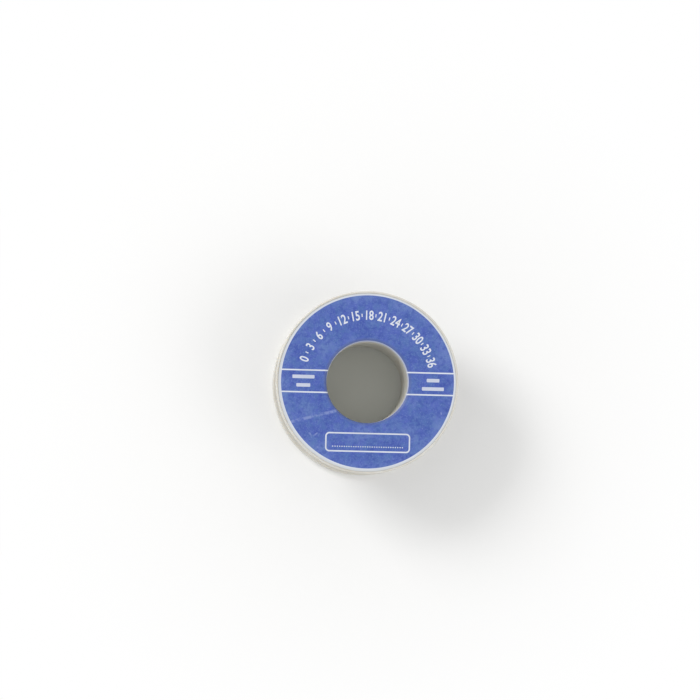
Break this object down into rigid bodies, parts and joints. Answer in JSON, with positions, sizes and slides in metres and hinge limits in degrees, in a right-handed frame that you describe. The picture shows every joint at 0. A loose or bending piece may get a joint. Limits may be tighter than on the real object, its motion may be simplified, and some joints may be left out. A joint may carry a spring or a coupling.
{
  "type": "solder wire spool",
  "caption": "Flanged spool wound with soft solder wire, with a round paper label on its front flange and a through bore for a spindle.",
  "frame": {"origin": "on the hub's axis, at the level of the rear flange's standing rim", "axes": "+Z along the hub's axis from the rear flange to the labelled front flange; +X to the right of the label as it is read"},
  "size_m": [0.063, 0.063, 0.03],
  "materials": {
    "natural_plastic": "satin, slightly translucent",
    "label_paper": "printed, matt",
    "solder_alloy": "bright drawn wire"
  },
  "bodies": {
    "root": {"front_flange": "natural_plastic", "rear_flange": "natural_plastic", "front_label": "label_paper", "solder_inner_layers": "solder_alloy", "solder_outer_layer": "solder_alloy", "solder_wire_start": "solder_alloy"}
  },
  "joints": []
}
